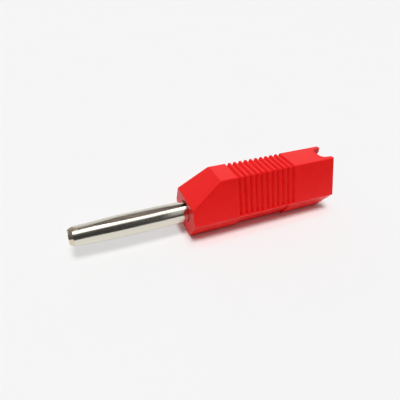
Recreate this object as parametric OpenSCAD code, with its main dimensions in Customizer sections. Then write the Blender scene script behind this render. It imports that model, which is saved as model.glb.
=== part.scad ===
// Banana plug with a rolled spring pin, a moulded grip body and a cage clamp for the wire.
// The pin points along -X, the open wire end along +X, and the underside lies on Z = 0.

/* [Insulating body] */
// Length of the body from nose face to rear end
body_len = 31.5; // [28:0.1:40]
// Height of the body
body_h = 11.55; // [10.5:0.05:13]
// Width of the flat top
top_w = 5.65; // [5.4:0.05:7]
// Width at the ridge, the widest line of the sides
ridge_w = 10.15; // [9.8:0.05:12]
// Height of the ridge above the underside
ridge_h = 4.05; // [3.5:0.05:4.5]
// Width of the flat underside
base_w = 5; // [4.6:0.1:7]
// Wall thickness round the wire chamber
wall_t = 1.05; // [0.8:0.05:1.2]
// Rounding of the long outer edges
long_edge_r = 0.3; // [0.1:0.05:0.6]

/* [Nose] */
// Length of the sloping face, measured along the top
slope_run = 5.8; // [4:0.05:7]
// Height at which the sloping face meets the nose face
slope_foot_h = 7.2; // [6.7:0.05:8.5]
// Rounding of the upright nose corners
nose_corner_r = 0.4; // [0.2:0.1:1.5]
// Diameter of the mouth round the pin
mouth_d = 4.3; // [4.2:0.1:5.4]
// Depth of the mouth
mouth_depth = 1.6; // [0.8:0.1:3]
// Depth of the nose block that the pin passes through
nose_depth = 7.5; // [6.5:0.1:9]
// Width of the throat behind the nose block
throat_w = 5; // [4.6:0.1:5.4]
// Length of the throat
throat_len = 3.4; // [3.2:0.1:5]

/* [Rear end] */
// Width of the notch in the top wall, at its inner end
notch_w = 3.5; // [3:0.1:3.8]
// Width of the notch at the rear end, where it flares
notch_mouth_w = 4; // [3.8:0.1:4.2]
// Depth of the notch, which is also the length of the two horns
notch_depth = 2.4; // [2:0.1:4]
// Rounding of the notch's inner corners
notch_r = 1.2; // [0.4:0.1:1.4]
// Length of the bevel under the rear end
rear_bevel_run = 1.5; // [0.5:0.1:3]
// Height of that bevel
rear_bevel_h = 4.7; // [4:0.05:5]
// Rounding of the upright rear corners
rear_corner_r = 0.4; // [0.2:0.1:2]
// Rounding of the horn tips, seen from the side
horn_r = 0.25; // [0.1:0.05:1]

/* [Grip ribs] */
// Number of grip grooves
groove_count = 11; // [5:1:12]
// Distance from groove to groove
groove_pitch = 1.18; // [1:0.01:1.3]
// Distance of the first groove from the nose face
first_groove = 9.65; // [8:0.05:11]
// Depth of the grooves
groove_depth = 0.42; // [0.15:0.01:0.5]
// Sharpness of the grooves: 1 makes them as round as the ribs, more makes them narrower
groove_sharpness = 1.8; // [1:0.1:3]
// Width of the plain land between a groove's lower end and the ridge
groove_land = 0.3; // [0.1:0.05:1]
// Distance from the nose to the recess in each lower side, under the ribs
recess_start = 9.9; // [9:0.1:11]
// Length of that recess
recess_len = 11; // [8:0.1:12]
// Width of the plain land between the ridge and that recess
recess_land = 0.4; // [0.3:0.05:1.5]
// Depth of that recess below the land
recess_step = 0.2; // [0.05:0.05:0.3]
// Depth of that recess at the underside
recess_depth = 0.35; // [0.2:0.05:0.8]

/* [Spring pin] */
// Height of the pin axis above the underside
axis_h = 4.35; // [4:0.05:4.7]
// Length of pin that stands out of the body
pin_reach = 21.5; // [18:0.1:26]
// Outer diameter at the root
root_d = 4; // [3.8:0.05:4.2]
// Outer diameter along the sprung middle
middle_d = 4.2; // [4:0.05:4.4]
// Outer diameter just behind the tip
tip_d = 3.65; // [3.5:0.05:4]
// Distance from the tip to the start of the sprung middle
middle_start = 9.7; // [6:0.1:11]
// Length of the sprung middle
middle_len = 6.5; // [4:0.1:8]
// Length of the bevel at the tip
lead_len = 0.8; // [0.6:0.1:2]
// Radius that the bevel takes off at the tip
lead_drop = 0.45; // [0.2:0.05:0.6]
// Thickness of the rolled sheet
sheet_t = 0.55; // [0.4:0.05:0.7]

/* [Pin seam] */
// Turn of the seam from straight up towards the side at -Y
seam_turn = 14; // [0:1:60]
// Width of the seam at the root
seam_root_w = 0.45; // [0.2:0.05:0.8]
// Width of the seam at its widest
seam_middle_w = 1.08; // [0.4:0.02:1.2]
// Width of the seam where its edges nearly meet
seam_tip_w = 0.1; // [0.05:0.01:0.2]
// Distance from the tip to where the seam nearly closes
seam_close = 1.9; // [1.5:0.1:3]
// Distance from the tip to where the seam is widest
seam_peak = 11; // [8:0.5:16]
// Width cut off the sheet's corner at the tip, on the seam's side at -Y
near_corner_w = 0.35; // [0.1:0.05:0.8]
// Length of that cut
near_corner_len = 0.6; // [0.3:0.1:1.5]
// Width cut off the sheet's corner at the tip, on the seam's side at +Y
far_corner_w = 0.9; // [0.3:0.05:1.2]
// Length of that cut
far_corner_len = 1.6; // [0.6:0.1:1.8]

/* [Current bar] */
// Width of the bar that the clamp sits on
bar_w = 4.4; // [4:0.1:4.6]
// Width of the tongue that passes through the clamp's window
tongue_w = 3; // [2.6:0.1:3.2]
// Span of the two wings that hold the contact in the body
wing_w = 6.8; // [6.2:0.1:7]
// Length of the wings
wing_len = 2.6; // [1.5:0.1:3]
// Length of the bar behind the throat, tongue included
bar_len = 11.6; // [11.2:0.1:13]
// Length of the tongue
tongue_len = 2; // [1.4:0.1:2.4]

/* [Clamp spring] */
// Thickness of the spring strip
spring_t = 0.4; // [0.3:0.05:0.5]
// Width of the strip on each side of the window
spring_side_w = 0.6; // [0.4:0.05:0.7]
// Outer radius of the loop
loop_r = 2.2; // [1.8:0.05:2.3]
// Outer radius of the bend above the window
bend_r = 1; // [0.7:0.05:1.4]
// Height of the crossbar under the window
crossbar_h = 0.8; // [0.6:0.05:1]

/* [Clearances] */
// Gap all round between the pin root and its bore
bore_gap = 0.04; // [0.02:0.01:0.1]
// Gap between parts that rest against each other
seat_gap = 0.02; // [0.01:0.01:0.05]
// Gap at each side of the tongue inside the window
window_gap = 0.15; // [0.1:0.05:0.3]
// Overlap of each catch behind a wing
catch_bite = 0.5; // [0.3:0.05:0.7]
// Length of each catch's sloping back
catch_run = 2; // [1:0.1:3]

/* [Hidden] */
$fn = 96;

body_red = "#e32422";
nickel = "#c9c6bd";
spring_steel = "#9fa1a3";

// Places along X
tip_x = -(pin_reach + body_len) / 2;
nose_x = tip_x + pin_reach;
rear_x = nose_x + body_len;
throat_x = nose_x + nose_depth;
chamber_x = throat_x + throat_len;
bar_end_x = chamber_x + bar_len;
window_x = bar_end_x - tongue_len / 2;
wing_end_x = chamber_x + seat_gap + wing_len;

// Heights of the current bar, which is centred on the pin axis
bar_z = axis_h - sheet_t / 2;
bar_top = axis_h + sheet_t / 2;

// Steps used to draw curves, a cutter's reach past the face it cuts, and how far a seat sinks into its wall
arc_steps = 6;
wave_steps = 12;
blend_steps = 8;
past = 1;
weld = 0.1;

function unit(v) = v / norm(v);
function left_of(v) = [-v.y, v.x];
function eased(t) = t * t * (3 - 2 * t);

// Point k of a closed outline, counted round and round
function around(outline, k) = outline[(k + len(outline)) % len(outline)];

// A convex outline, drawn anticlockwise, with every side moved inwards by the distance d
function inset(outline, d) = [
    for (k = [0 : len(outline) - 1])
        let (before = left_of(unit(outline[k] - around(outline, k - 1))))
        let (after = left_of(unit(around(outline, k + 1) - outline[k])))
        outline[k] + d * (before + after) / (1 + before * after)
];

// Arc of radius r that rounds corner b between its neighbours a and c
function corner_arc(a, b, c, r) =
    let (u = unit(a - b))
    let (v = unit(c - b))
    let (half = acos(u * v) / 2)
    let (centre = b + unit(u + v) * r / sin(half))
    let (first = b + u * r / tan(half) - centre)
    let (last = b + v * r / tan(half) - centre)
    let (turn = atan2(first.x * last.y - first.y * last.x, first * last))
    let (start = atan2(first.y, first.x))
    [
        for (i = [0 : arc_steps])
            let (angle = start + turn * i / arc_steps)
            centre + r * [cos(angle), sin(angle)]
    ];

// An outline with corner k rounded by radii[k], or left sharp where that is 0
function rounded(outline, radii) = [
    for (k = [0 : len(outline) - 1])
        each radii[k] == 0
            ? [outline[k]]
            : corner_arc(around(outline, k - 1), outline[k], around(outline, k + 1), radii[k])
];

function all_corners(outline, r) = [for (p = outline) r];

// Cross-section of the body, as [y, z] points
body_section = [
    [-base_w / 2, 0],
    [base_w / 2, 0],
    [ridge_w / 2, ridge_h],
    [top_w / 2, body_h],
    [-top_w / 2, body_h],
    [-ridge_w / 2, ridge_h]
];

// Lean and length of the sides above and below the ridge
side_lean = atan2((ridge_w - top_w) / 2, body_h - ridge_h);
side_len = norm([(ridge_w - top_w) / 2, body_h - ridge_h]);
lower_lean = atan2((ridge_w - base_w) / 2, ridge_h);
lower_len = norm([(ridge_w - base_w) / 2, ridge_h]);

// Runs a [y, z] outline along X
module along_x(outline, from_x, to_x) {
    translate([from_x, 0, 0])
        rotate([90, 0, 90])
            linear_extrude(to_x - from_x)
                polygon(outline);
}

// Runs an [x, z] outline across Y, centred
module across_y(outline, width) {
    rotate([90, 0, 0])
        linear_extrude(width, center = true)
            polygon(outline);
}

// A plain bar with its lower corner at p
module block(p, size) {
    translate(p)
        cube(size);
}

// Keeps what it is given on both sides of the plane Y = 0
module both_sides() {
    children();
    mirror([0, 1, 0])
        children();
}

// Moves what it is given onto the side at +Y above the ridge: +Y points out of the side and +Z climbs it
module on_upper_side() {
    translate([0, ridge_w / 2, ridge_h])
        rotate([side_lean, 0, 0])
            children();
}

// The same for the side below the ridge, where +Z runs down
module on_lower_side() {
    translate([0, ridge_w / 2, ridge_h])
        rotate([-lower_lean, 0, 0])
            mirror([0, 0, 1])
                children();
}

// Body without holes: the section, cut by the outline seen from the side
module body_block() {
    side_view = [
        [nose_x, 0],
        [rear_x - rear_bevel_run, 0],
        [rear_x, rear_bevel_h],
        [rear_x, body_h],
        [nose_x + slope_run, body_h],
        [nose_x, slope_foot_h]
    ];
    side_radii = [nose_corner_r, long_edge_r, long_edge_r, horn_r, long_edge_r, long_edge_r];
    intersection() {
        along_x(rounded(body_section, all_corners(body_section, long_edge_r)), nose_x, rear_x);
        across_y(rounded(side_view, side_radii), ridge_w + past);
    }
}

// Cutter that rounds one end of a side, between two distances from the ridge along that side.
// way is 1 at the rear and -1 at the nose
module end_rounding(end_x, way, r, from_z, to_z) {
    arc = [
        for (i = [0 : arc_steps])
            [end_x - way * r * (1 - sin(90 * i / arc_steps)), -r * (1 - cos(90 * i / arc_steps))]
    ];
    outer_x = end_x + way * past;
    translate([0, 0, from_z])
        linear_extrude(to_z - from_z)
            polygon(concat([[end_x - way * r, past]], arc, [[outer_x, -r], [outer_x, past]]));
}

// Upright corners of the body: the nose ones run the full height, the rear ones run out below the ridge
module upright_roundings() {
    run_out = rear_corner_r / (tan(side_lean) + tan(lower_lean)) + long_edge_r;
    both_sides() {
        on_upper_side() {
            end_rounding(nose_x, -1, nose_corner_r, -past, side_len + past);
            end_rounding(rear_x, 1, rear_corner_r, -run_out, side_len + past);
        }
        on_lower_side()
            end_rounding(nose_x, -1, nose_corner_r, -past, lower_len + past);
    }
}

// Depth of the grip wave at the distance x behind the nose face
function wave_depth(x) =
    groove_depth * pow((1 + cos(360 * (x - first_groove) / groove_pitch)) / 2, groove_sharpness);

// Outline of the cutter that leaves the wave of ribs, as [x, height over the face] points
grip_start = first_groove - groove_pitch / 2;
grip_len = groove_count * groove_pitch;
grip_wave = [
    [nose_x + grip_start, past],
    for (i = [0 : groove_count * wave_steps])
        let (x = grip_start + grip_len * i / (groove_count * wave_steps))
        [nose_x + x, -wave_depth(x)],
    [nose_x + grip_start + grip_len, past]
];

// The grip grooves of the top and of both sides, which end just above the ridge
module grip_grooves() {
    translate([0, 0, body_h])
        across_y(grip_wave, top_w + past);
    both_sides()
        on_upper_side()
            translate([0, 0, groove_land])
                linear_extrude(side_len - groove_land + past)
                    polygon(grip_wave);
}

// Recesses in the lower sides under the ribs, which give the fingers a hold
module grip_recesses() {
    recess = [
        [past, recess_land],
        [past, lower_len + past],
        [-recess_depth, lower_len + past],
        [-recess_depth, lower_len],
        [-recess_step, recess_land]
    ];
    both_sides()
        on_lower_side()
            along_x(recess, nose_x + recess_start, nose_x + recess_start + recess_len);
}

// Mouth and bore for the pin, through the nose block
module pin_hole() {
    translate([nose_x - past, 0, axis_h])
        rotate([0, 90, 0])
            cylinder(h = mouth_depth + past, d = mouth_d);
    translate([nose_x, 0, axis_h])
        rotate([0, 90, 0])
            cylinder(h = nose_depth + past, r = root_d / 2 + bore_gap);
}

// Chamber for the clamp and the wire, open at the rear, with the throat in front of it
module wire_chamber() {
    chamber = inset(body_section, wall_t);
    along_x(rounded(chamber, all_corners(chamber, long_edge_r)), chamber_x, rear_x + past);
    throat_z = axis_h - root_d / 2 - bore_gap;
    block([throat_x, -throat_w / 2, throat_z], [throat_len + past, throat_w, root_d + 2 * bore_gap]);
}

// U-shaped notch in the top wall, between the two horns
module rear_notch() {
    notch = [
        [rear_x - notch_depth, -notch_w / 2],
        [rear_x, -notch_mouth_w / 2],
        [rear_x + past, -notch_mouth_w / 2],
        [rear_x + past, notch_mouth_w / 2],
        [rear_x, notch_mouth_w / 2],
        [rear_x - notch_depth, notch_w / 2]
    ];
    translate([0, 0, axis_h])
        linear_extrude(body_h)
            polygon(rounded(notch, [notch_r, 0, 0, 0, 0, notch_r]));
}

// Rails that carry the wings and catches that snap in behind them, on the chamber's side walls
module contact_seats() {
    rail_y = throat_w / 2;
    catch_y = wing_w / 2 - catch_bite;
    catch_x = wing_end_x + seat_gap;
    catch_plan = [[catch_x, catch_y], [catch_x + catch_run, ridge_w / 2], [catch_x, ridge_w / 2]];
    intersection() {
        along_x(inset(body_section, wall_t - weld), chamber_x - wall_t, rear_x);
        both_sides() {
            block([chamber_x - wall_t, rail_y, 0], [wing_len + wall_t, ridge_w, bar_z - seat_gap]);
            translate([0, 0, bar_z])
                linear_extrude(spring_t + sheet_t)
                    polygon(catch_plan);
        }
    }
}

module insulating_body() {
    color(body_red)
        union() {
            difference() {
                body_block();
                upright_roundings();
                grip_grooves();
                grip_recesses();
                pin_hole();
                wire_chamber();
                rear_notch();
            }
            contact_seats();
        }
}

// Outer radius of the pin at the distance s behind its tip
function pin_r(s) =
    s < lead_len ? tip_d / 2 - lead_drop * (1 - s / lead_len)
    : s < middle_start ? lookup_eased(s, lead_len, middle_start, tip_d / 2, middle_d / 2)
    : s < middle_start + middle_len ? middle_d / 2
    : s < pin_reach ? lookup_eased(s, middle_start + middle_len, pin_reach, middle_d / 2, root_d / 2)
    : root_d / 2;

// Eased step from the value a at s0 to the value b at s1
function lookup_eased(s, s0, s1, a, b) = a + (b - a) * eased((s - s0) / (s1 - s0));

// Length of the closed tube and its profile, as distances behind the tip
tube_len = pin_reach + nose_depth;
tube_stations = [
    0,
    for (i = [0 : blend_steps - 1]) lead_len + (middle_start - lead_len) * i / blend_steps,
    middle_start,
    for (i = [0 : blend_steps - 1])
        middle_start + middle_len + (pin_reach - middle_start - middle_len) * i / blend_steps,
    pin_reach,
    tube_len
];

// Rolled sheet tube, standing on its tip
module rolled_tube() {
    outside = [for (s = tube_stations) [pin_r(s), s]];
    inside = [for (s = tube_stations) [pin_r(s) - sheet_t, s]];
    rotate_extrude()
        polygon(concat(outside, [for (k = [len(inside) - 1 : -1 : 0]) inside[k]]));
}

// Width of the seam at the distance s behind the tip: nearly closed there, widest at the peak and
// narrower again towards the root
function seam_w(s) =
    s < seam_close ? seam_tip_w
    : s < seam_peak
        ? seam_tip_w + (seam_middle_w - seam_tip_w) * sin(90 * (s - seam_close) / (seam_peak - seam_close))
    : lookup_eased(s, seam_peak, tube_len, seam_middle_w, seam_root_w);

// Distance of a seam edge from the seam's middle, with the sheet's corner cut off at the tip
function seam_edge(s, corner_w, corner_len) =
    seam_w(s) / 2 + corner_w * (1 - pow(min(s / corner_len, 1), 4));

// Cutter for the seam, on the +X side of the standing tube
module seam_cut() {
    steps = 2 * blend_steps;
    stations = concat(
        [for (i = [0 : steps - 1]) seam_close * i / steps],
        [for (i = [0 : steps]) seam_close + (tube_len - seam_close) * i / steps]
    );
    near_edge = [for (s = stations) [seam_edge(s, near_corner_w, near_corner_len), s]];
    far_edge = [for (s = stations) [-seam_edge(s, far_corner_w, far_corner_len), s]];
    last = len(stations) - 1;
    rotate([90, 0, 90])
        linear_extrude(middle_d)
            polygon(concat(
                [[near_edge[0].x, -past]],
                near_edge,
                [[near_edge[last].x, tube_len + past], [far_edge[last].x, tube_len + past]],
                [for (k = [last : -1 : 0]) far_edge[k]],
                [[far_edge[0].x, -past]]
            ));
}

// Trough where the tube opens out behind the nose block
module open_trough() {
    trough_len = throat_len / 2;
    difference() {
        translate([throat_x - seat_gap, 0, axis_h])
            rotate([0, 90, 0])
                difference() {
                    cylinder(h = trough_len, d = root_d);
                    translate([0, 0, -past])
                        cylinder(h = trough_len + 2 * past, r = root_d / 2 - sheet_t);
                }
        block([throat_x - past, -root_d, axis_h - sheet_t], [trough_len + 2 * past, 2 * root_d, root_d]);
    }
}

// Flat bar that rises from the trough to the pin axis and runs back into the chamber
module current_bar() {
    trough_z = axis_h - root_d / 2;
    bar_x = throat_x + seat_gap;
    ramp_x = throat_x + throat_len / 4;
    ramp_end_x = chamber_x - sheet_t;
    bar_side = [
        [bar_x, trough_z],
        [ramp_x, trough_z],
        [ramp_end_x, bar_z],
        [bar_end_x, bar_z],
        [bar_end_x, bar_top],
        [ramp_end_x, bar_top],
        [ramp_x, trough_z + sheet_t],
        [bar_x, trough_z + sheet_t]
    ];
    ramp_half = root_d / 2 - sheet_t;
    bar_plan = [
        [bar_x, ramp_half],
        [ramp_end_x, bar_w / 2],
        [chamber_x + seat_gap, bar_w / 2],
        [chamber_x + seat_gap, wing_w / 2],
        [wing_end_x, wing_w / 2],
        [wing_end_x, bar_w / 2],
        [bar_end_x - tongue_len, bar_w / 2],
        [bar_end_x - tongue_len, tongue_w / 2],
        [bar_end_x, tongue_w / 2]
    ];
    far_half = [for (k = [len(bar_plan) - 1 : -1 : 0]) [bar_plan[k].x, -bar_plan[k].y]];
    intersection() {
        across_y(bar_side, wing_w + past);
        linear_extrude(body_h)
            polygon(concat(bar_plan, far_half));
    }
}

module contact_pin() {
    color(nickel)
        union() {
            translate([tip_x, 0, axis_h])
                rotate([seam_turn, 0, 0])
                    rotate([0, 90, 0])
                        rotate([0, 0, 180])
                            difference() {
                                rolled_tube();
                                seam_cut();
                            }
            open_trough();
            current_bar();
        }
}

// Spring strip seen from the side, as a loop that starts on the bar and comes down behind its end
module clamp_outline() {
    leg_z = bar_top + seat_gap;
    loop_x = wing_end_x;
    loop_z = leg_z + loop_r;
    top_z = leg_z + 2 * loop_r;
    bend_x = window_x + spring_t / 2 - bend_r;
    foot_z = bar_z - seat_gap - crossbar_h;
    leg_end_x = bar_end_x - tongue_len - seat_gap;
    translate([loop_x, leg_z])
        square([leg_end_x - loop_x, spring_t]);
    difference() {
        translate([loop_x, loop_z])
            circle(loop_r);
        translate([loop_x, loop_z])
            circle(loop_r - spring_t);
        translate([loop_x, leg_z - past])
            square([loop_r + past, 2 * (loop_r + past)]);
    }
    translate([loop_x, top_z - spring_t])
        square([bend_x - loop_x, spring_t]);
    difference() {
        translate([bend_x, top_z - bend_r])
            circle(bend_r);
        translate([bend_x, top_z - bend_r])
            circle(bend_r - spring_t);
        translate([bend_x - bend_r - past, top_z - 2 * bend_r - past])
            square([bend_r + past, 2 * (bend_r + past)]);
        translate([bend_x - past, top_z - 2 * bend_r - past])
            square([bend_r + 2 * past, bend_r + past]);
    }
    translate([window_x - spring_t / 2, foot_z])
        square([spring_t, top_z - bend_r - foot_z]);
}

module clamp_spring() {
    window_w = tongue_w + 2 * window_gap;
    spring_w = window_w + 2 * spring_side_w;
    window_z = bar_z - seat_gap;
    window_top = bar_top + seat_gap + 2 * (loop_r - bend_r);
    color(spring_steel)
        difference() {
            rotate([90, 0, 0])
                linear_extrude(spring_w, center = true)
                    clamp_outline();
            block(
                [window_x - past, -window_w / 2, window_z],
                [2 * past, window_w, window_top - window_z]
            );
        }
}

insulating_body();
contact_pin();
clamp_spring();
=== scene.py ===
import math

import bmesh
import bpy
from mathutils import Matrix, Vector

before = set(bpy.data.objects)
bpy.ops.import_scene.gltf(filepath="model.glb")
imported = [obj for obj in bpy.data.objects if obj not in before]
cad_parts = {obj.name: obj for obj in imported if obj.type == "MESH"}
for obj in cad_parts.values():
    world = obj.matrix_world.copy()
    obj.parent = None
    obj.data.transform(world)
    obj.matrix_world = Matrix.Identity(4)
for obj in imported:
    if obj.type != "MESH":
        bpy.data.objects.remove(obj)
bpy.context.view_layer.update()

MM = 0.001

# Where the nose face meets the pin axis, which the camera was fitted to
NOSE = Vector((-5.0, 0.0, 4.35)) * MM

# Camera fitted to the photograph, with the frame taken as 400 x 400
PHOTO_WIDTH = 400
FOCAL_PX = 350.0
CAMERA_AZIMUTH = math.radians(-23.47)
CAMERA_ELEVATION = math.radians(35.21)
CAMERA_ROLL = math.radians(1.62)
CAMERA_RIGHT = 2.85 * MM
CAMERA_UP = 2.14 * MM
CAMERA_DISTANCE = 67.41 * MM
SENSOR_WIDTH = 36.0

# Light tent: a compact key nearly overhead, a soft roof round it, a weak fill from the front, walls that
# are dark at the front opening, and a paler back. Each edge or turn holds the cosines or sines at which a
# change starts and ends. A shiny face mirrors the key dimly and the fill not at all, and it also mirrors the
# roof drawn out lengthwise and a panel on the right that fades downwards.
TENT_WHITE = (1.0, 1.0, 1.0, 1.0)
KEY_LEAN = math.radians(11.4)
KEY_EDGE = (0.975, 0.9905)
KEY_LIGHT = 18.6
KEY_MIRRORED = 0.25
ROOF_LEAN = math.radians(16.0)
ROOF_EDGE = (0.935, 0.99)
ROOF_LIGHT = 1.1
ROOF_SQUEEZE = (0.4, 1.0, 1.0)
PANEL_TURN = (0.25, 0.34)
PANEL_RISE = (0.0, 0.7)
PANEL_LIGHT = 0.8
FILL_TURN = (0.2, -0.7)
FILL_LIGHT = 0.12
WALL_TURN = (-0.75, 0.35)
WALL_LIGHT = (0.05, 0.29)
BACK_TURN = (0.55, 0.95)
BACK_LIGHT = 0.5

# Pale sheet under the plug, whose front edge lies outside the picture. Its shadows are lifted a little
# except close to the body.
SHEET_HALF = 3.0
SHEET_FRONT = 42.0 * MM
SHEET_WHITE = (0.93, 0.93, 0.93, 1.0)
SHADOW_LIFT = 0.55
LIFT_REACH = (0.5 * MM, 1.8 * MM)
BODY_MIDDLE = 10.75 * MM
BODY_HALF = (15.75 * MM, 5.05 * MM)
PAPER = ((0.925, 0.925, 0.925, 1.0), (0.935, 0.935, 0.935, 1.0))
PAPER_GRAIN = 40.0
PAPER_ROUGHNESS = 0.9
PAPER_SPECULAR = 0.1

# Levels of noise between which a finish changes from its first shade to its second, and how fine noise is
NOISE_SPAN = (0.3, 0.7)
PLAIN_DETAIL = 3.0
RICH_DETAIL = 4.0
GRAIN_DETAIL = 2.0
EVEN = (1.0, 1.0, 1.0)

# Red plastic: the plain red, a darker red painted into hollows as shade, and the mottle and grain of the
# moulding
RED = ((0.93, 0.010, 0.009, 1.0), (0.96, 0.012, 0.011, 1.0))
PAINTED_SHADE_RED = ((0.76, 0.002, 0.002, 1.0), (0.80, 0.003, 0.003, 1.0))
MOTTLE = 900.0
PLASTIC_GRAIN = 2500.0
PLASTIC_GRAIN_STRENGTH = 0.05
PLASTIC_GRAIN_DEPTH = 0.02 * MM
PLASTIC_ROUGHNESS = (0.3, 0.38)
PLASTIC_IOR = 1.5
PLASTIC_SPECULAR = 0.2

# Painted shade in the hollows of the moulding: how near another face is, and how open a place must be to
# stay plain
HOLLOW_REACH = 0.8 * MM
HOLLOW_SHADE = (0.4, 0.95)

# Contact: nickel, a brownish tip and bare brass, with draw marks along the sheet
NICKEL = ((0.72, 0.68, 0.59, 1.0), (0.78, 0.74, 0.65, 1.0))
BROWNISH_TIP = ((0.70, 0.58, 0.43, 1.0), (0.77, 0.65, 0.50, 1.0))
BARE_BRASS = ((0.77, 0.715, 0.66, 1.0), (0.87, 0.81, 0.75, 1.0))
DRAW_MARKS = 3000.0
DRAW_STRETCH = (0.04, 1.0, 1.0)
NICKEL_ROUGHNESS = (0.12, 0.21)
BRASS_ROUGHNESS = 0.5
BRASS_METALLIC = 0.2
SHEET_GRAIN = 5000.0
SHEET_GRAIN_STRENGTH = 0.04
SHEET_GRAIN_DEPTH = 0.01 * MM

# Pin: its axis, how far its faces must turn away from that axis to be plated, how far they may turn
# to the tip, where the bare part ends, and how far the brownish tip goes inside
PIN_AXIS = (0.0, 0.0, 4.35 * MM)
ACROSS_PIN = (0.0, 1.0, 1.0)
PLATED_TURN = (0.4, 0.8)
RIM_TURN = (-0.6, -0.2)
PLATED_FROM = (-6.0 * MM, -5.0 * MM)
BROWNISH_REACH = (-25.4 * MM, -24.2 * MM)

# Clamp: rolled steel strip with marks along it
STEEL = ((0.50, 0.50, 0.51, 1.0), (0.60, 0.60, 0.61, 1.0))
ROLL_MARKS = 2500.0
ROLL_STRETCH = (0.05, 1.0, 0.2)
STEEL_ROUGHNESS = (0.22, 0.34)


def add_camera():
    azimuth, elevation, roll = CAMERA_AZIMUTH, CAMERA_ELEVATION, CAMERA_ROLL
    back = Vector((
        math.sin(azimuth) * math.cos(elevation),
        -math.cos(azimuth) * math.cos(elevation),
        math.sin(elevation),
    ))
    level_right = Vector((math.cos(azimuth), math.sin(azimuth), 0.0))
    level_up = back.cross(level_right)
    right = level_right * math.cos(roll) + level_up * math.sin(roll)
    up = level_up * math.cos(roll) - level_right * math.sin(roll)
    place = NOSE + back * CAMERA_DISTANCE + right * CAMERA_RIGHT + up * CAMERA_UP
    turn = Matrix((right, up, back)).transposed().to_4x4()
    lens = bpy.data.cameras.new("camera")
    lens.sensor_width = SENSOR_WIDTH
    lens.lens = FOCAL_PX / PHOTO_WIDTH * SENSOR_WIDTH
    lens.clip_start = MM
    camera = bpy.data.objects.new("camera", lens)
    camera.matrix_world = Matrix.Translation(place) @ turn
    bpy.context.scene.collection.objects.link(camera)
    bpy.context.scene.camera = camera


def change(tree, value, source, target=(0.0, 1.0)):
    """A smooth change from the first target to the second as the value passes through the source range."""
    node = tree.nodes.new("ShaderNodeMapRange")
    node.interpolation_type = "SMOOTHSTEP"
    node.inputs["From Min"].default_value, node.inputs["From Max"].default_value = source
    node.inputs["To Min"].default_value, node.inputs["To Max"].default_value = target
    tree.links.new(value, node.inputs["Value"])
    return node.outputs["Result"]


def join(tree, operation, *terms):
    """The result of one math node on sockets and plain numbers."""
    node = tree.nodes.new("ShaderNodeMath")
    node.operation = operation
    for socket, term in zip(node.inputs, terms):
        if isinstance(term, float):
            socket.default_value = term
        else:
            tree.links.new(term, socket)
    return node.outputs["Value"]


def join_vectors(tree, operation, *terms):
    """The outputs of one vector math node on sockets and plain vectors."""
    node = tree.nodes.new("ShaderNodeVectorMath")
    node.operation = operation
    for socket, term in zip(node.inputs, terms):
        if isinstance(term, tuple):
            socket.default_value = term
        else:
            tree.links.new(term, socket)
    return node.outputs


def parts(tree, vector):
    node = tree.nodes.new("ShaderNodeSeparateXYZ")
    tree.links.new(vector, node.inputs["Vector"])
    return node.outputs


def swap(tree, share, first, second, output):
    """One shader replaced by another by its share, shown at an output node."""
    node = tree.nodes.new("ShaderNodeMixShader")
    tree.links.new(share, node.inputs["Fac"])
    tree.links.new(first, node.inputs[1])
    tree.links.new(second, node.inputs[2])
    tree.links.new(node.outputs["Shader"], tree.nodes[output].inputs["Surface"])


class Shader:
    """One node material under construction, with its main surface shader."""

    def __init__(self, name):
        self.material = bpy.data.materials.new(name)
        self.material.use_nodes = True
        self.tree = self.material.node_tree
        self.surface = self.tree.nodes["Principled BSDF"]
        texture = self.tree.nodes.new("ShaderNodeTexCoord")
        self.coords = texture.outputs["Object"]
        self.normal = texture.outputs["Normal"]

    def set(self, **sockets):
        for name, value in sockets.items():
            self.surface.inputs[name.replace("_", " ")].default_value = value

    def link(self, **sockets):
        for name, source in sockets.items():
            self.tree.links.new(source, self.surface.inputs[name.replace("_", " ")])

    def placed(self, centre, stretch=EVEN):
        """Object coordinates measured from a centre and stretched along each axis."""
        mapping = self.tree.nodes.new("ShaderNodeMapping")
        mapping.inputs["Location"].default_value = [-c * s for c, s in zip(centre, stretch)]
        mapping.inputs["Scale"].default_value = stretch
        self.tree.links.new(self.coords, mapping.inputs["Vector"])
        return mapping.outputs["Vector"]

    def noise(self, scale, detail=PLAIN_DETAIL, stretch=EVEN):
        texture = self.tree.nodes.new("ShaderNodeTexNoise")
        texture.inputs["Scale"].default_value = scale
        texture.inputs["Detail"].default_value = detail
        self.tree.links.new(self.placed((0.0, 0.0, 0.0), stretch), texture.inputs["Vector"])
        return texture.outputs["Fac"]

    def shades(self, noise, colours):
        """A colour that wanders between two shades with the noise."""
        node = self.tree.nodes.new("ShaderNodeValToRGB")
        for element, level, colour in zip(node.color_ramp.elements, NOISE_SPAN, colours):
            element.position = level
            element.color = colour
        self.tree.links.new(noise, node.inputs["Fac"])
        return node.outputs["Color"]

    def blend(self, share, first, second):
        node = self.tree.nodes.new("ShaderNodeMix")
        node.data_type = "RGBA"
        for source, socket in ((share, "Factor"), (first, "A"), (second, "B")):
            self.tree.links.new(source, node.inputs[socket])
        return node.outputs["Result"]

    def bump(self, height, strength, distance):
        node = self.tree.nodes.new("ShaderNodeBump")
        node.inputs["Strength"].default_value = strength
        node.inputs["Distance"].default_value = distance
        self.tree.links.new(height, node.inputs["Height"])
        self.link(Normal=node.outputs["Normal"])


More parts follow.
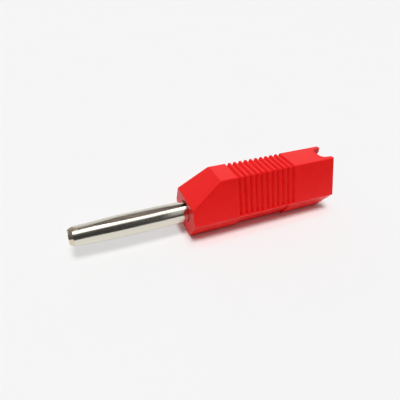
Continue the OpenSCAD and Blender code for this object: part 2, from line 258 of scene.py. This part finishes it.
def moulded_red_plastic():
    shader = Shader("moulded_red_plastic")
    tree = shader.tree
    shader.set(IOR=PLASTIC_IOR, Specular_IOR_Level=PLASTIC_SPECULAR)
    mottle = shader.noise(MOTTLE, RICH_DETAIL)
    plain, painted_shade = (shader.shades(mottle, colours) for colours in (RED, PAINTED_SHADE_RED))
    # Painted shade: the red turns darker where ambient occlusion finds faces close by, in grooves and
    # recesses
    shade_occlusion = tree.nodes.new("ShaderNodeAmbientOcclusion")
    shade_occlusion.only_local = True
    shade_occlusion.inputs["Distance"].default_value = HOLLOW_REACH
    unshaded_share = change(tree, shade_occlusion.outputs["AO"], HOLLOW_SHADE)
    shader.link(
        Base_Color=shader.blend(unshaded_share, painted_shade, plain),
        Roughness=change(tree, shader.noise(PLASTIC_GRAIN), NOISE_SPAN, PLASTIC_ROUGHNESS),
    )
    shader.bump(shader.noise(PLASTIC_GRAIN, GRAIN_DETAIL), PLASTIC_GRAIN_STRENGTH, PLASTIC_GRAIN_DEPTH)
    return shader.material


def nickel_over_brass():
    """Bright nickel, with bare brass on the inside and the cut edges, and a brownish tip."""
    shader = Shader("nickel_over_brass")
    tree = shader.tree
    marks = shader.noise(DRAW_MARKS, RICH_DETAIL, DRAW_STRETCH)
    nickel, tip_colour, brass = (shader.shades(marks, colours) for colours in (NICKEL, BROWNISH_TIP, BARE_BRASS))
    outwards = join_vectors(tree, "NORMALIZE", shader.placed(PIN_AXIS, ACROSS_PIN))["Vector"]
    turned = join_vectors(tree, "DOT_PRODUCT", outwards, shader.normal)["Value"]
    along = parts(tree, shader.coords)["X"]
    plated = join(
        tree, "MAXIMUM",
        change(tree, turned, PLATED_TURN),
        change(tree, along, PLATED_FROM),
    )
    inside = shader.blend(change(tree, along, BROWNISH_REACH), tip_colour, brass)
    plating = shader.blend(change(tree, parts(tree, shader.normal)["X"], RIM_TURN), tip_colour, nickel)
    roughness = join(
        tree, "MAXIMUM",
        change(tree, plated, (0.0, 1.0), (BRASS_ROUGHNESS, 0.0)),
        change(tree, marks, NOISE_SPAN, NICKEL_ROUGHNESS),
    )
    shader.link(
        Base_Color=shader.blend(plated, inside, plating),
        Roughness=roughness,
        Metallic=change(tree, plated, (0.0, 1.0), (BRASS_METALLIC, 1.0)),
    )
    shader.bump(shader.noise(SHEET_GRAIN, GRAIN_DETAIL), SHEET_GRAIN_STRENGTH, SHEET_GRAIN_DEPTH)
    return shader.material


def rolled_spring_steel():
    shader = Shader("rolled_spring_steel")
    shader.set(Metallic=1.0)
    marks = shader.noise(ROLL_MARKS, RICH_DETAIL, ROLL_STRETCH)
    shader.link(
        Base_Color=shader.shades(marks, STEEL),
        Roughness=change(shader.tree, marks, NOISE_SPAN, STEEL_ROUGHNESS),
    )
    return shader.material


def pale_sheet():
    """White paper with the plug's shadows, which are lifted for the camera and mirrors clear of the body."""
    shader = Shader("pale_sheet")
    tree = shader.tree
    shader.set(Roughness=PAPER_ROUGHNESS, Specular_IOR_Level=PAPER_SPECULAR)
    shader.link(Base_Color=shader.shades(shader.noise(PAPER_GRAIN), PAPER))
    place = parts(tree, shader.placed((BODY_MIDDLE, 0.0, 0.0)))
    past_end, past_side = (
        join(tree, "SUBTRACT", join(tree, "ABSOLUTE", place[axis]), half)
        for axis, half in zip("XY", BODY_HALF)
    )
    clear = change(tree, join(tree, "MAXIMUM", past_end, past_side), LIFT_REACH, (0.0, SHADOW_LIFT))
    path = tree.nodes.new("ShaderNodeLightPath").outputs
    seen = join(tree, "MAXIMUM", path["Is Camera Ray"], path["Is Glossy Ray"])
    seen = join(tree, "MAXIMUM", seen, path["Is Transmission Ray"])
    lift = tree.nodes.new("ShaderNodeEmission")
    lift.inputs["Color"].default_value = SHEET_WHITE
    share = join(tree, "MULTIPLY", clear, seen)
    swap(tree, share, shader.surface.outputs["BSDF"], lift.outputs["Emission"], "Material Output")
    return shader.material


def add_sheet():
    shape = bmesh.new()
    bmesh.ops.create_grid(shape, x_segments=1, y_segments=1, size=SHEET_HALF)
    bmesh.ops.translate(shape, verts=shape.verts, vec=(0.0, SHEET_HALF - SHEET_FRONT, 0.0))
    mesh = bpy.data.meshes.new("sheet")
    shape.to_mesh(mesh)
    shape.free()
    mesh.materials.append(pale_sheet())
    sheet = bpy.data.objects.new("sheet", mesh)
    bpy.context.scene.collection.objects.link(sheet)


def facing(tree, direction, lean):
    """Cosine of the angle between a direction and one that leans from straight up towards the camera."""
    overhead = (0.0, -math.sin(lean), math.cos(lean))
    return join_vectors(tree, "DOT_PRODUCT", direction, overhead)["Value"]


def tent_light(tree, mirrored):
    """Brightness of the tent in each direction. It differs a little where a shiny face mirrors it."""
    direction = tree.nodes.new("ShaderNodeTexCoord").outputs["Generated"]
    turn = parts(tree, direction)
    side, depth, height = turn["X"], turn["Y"], turn["Z"]
    key_level, fill_level = (
        change(tree, mirrored, (0.0, 1.0), levels)
        for levels in ((KEY_LIGHT, KEY_MIRRORED), (FILL_LIGHT, 0.0))
    )
    key = join(tree, "MULTIPLY", change(tree, facing(tree, direction, KEY_LEAN), KEY_EDGE), key_level)
    fill = join(tree, "MULTIPLY", change(tree, depth, FILL_TURN), fill_level)
    squeezed = join_vectors(tree, "MULTIPLY", direction, ROOF_SQUEEZE)["Vector"]
    squeezed = join_vectors(tree, "NORMALIZE", squeezed)["Vector"]
    roof, long_roof = (
        change(tree, facing(tree, heading, ROOF_LEAN), ROOF_EDGE, (0.0, ROOF_LIGHT))
        for heading in (direction, squeezed)
    )
    roof = join(tree, "MAXIMUM", roof, join(tree, "MULTIPLY", long_roof, mirrored))
    rise = change(tree, height, PANEL_RISE, (0.0, PANEL_LIGHT))
    panel = join(tree, "MULTIPLY", change(tree, side, PANEL_TURN), rise)
    panel = join(tree, "MULTIPLY", panel, mirrored)
    walls = change(tree, depth, WALL_TURN, WALL_LIGHT)
    back = change(tree, depth, BACK_TURN, (0.0, BACK_LIGHT))
    light = walls
    for share in (back, fill, roof, panel, key):
        light = join(tree, "ADD", light, share)
    return light


def add_light_tent():
    """White tent round the plug. The camera sees a plain pale backdrop instead of it."""
    world = bpy.data.worlds.new("light_tent")
    bpy.context.scene.world = world
    world.use_nodes = True
    tree = world.node_tree
    path = tree.nodes.new("ShaderNodeLightPath").outputs
    tent = tree.nodes["Background"]
    tent.inputs["Color"].default_value = TENT_WHITE
    tree.links.new(tent_light(tree, path["Is Glossy Ray"]), tent.inputs["Strength"])
    backdrop = tree.nodes.new("ShaderNodeBackground")
    backdrop.inputs["Color"].default_value = SHEET_WHITE
    swap(
        tree, path["Is Camera Ray"],
        tent.outputs["Background"], backdrop.outputs["Background"], "World Output",
    )


add_camera()
add_sheet()
add_light_tent()

for node, material in (
    ("insulating_body", moulded_red_plastic()),
    ("contact_pin", nickel_over_brass()),
    ("clamp_spring", rolled_spring_steel()),
):
    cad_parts[node].data.materials.clear()
    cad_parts[node].data.materials.append(material)

bpy.context.scene.view_settings.view_transform = "Standard"
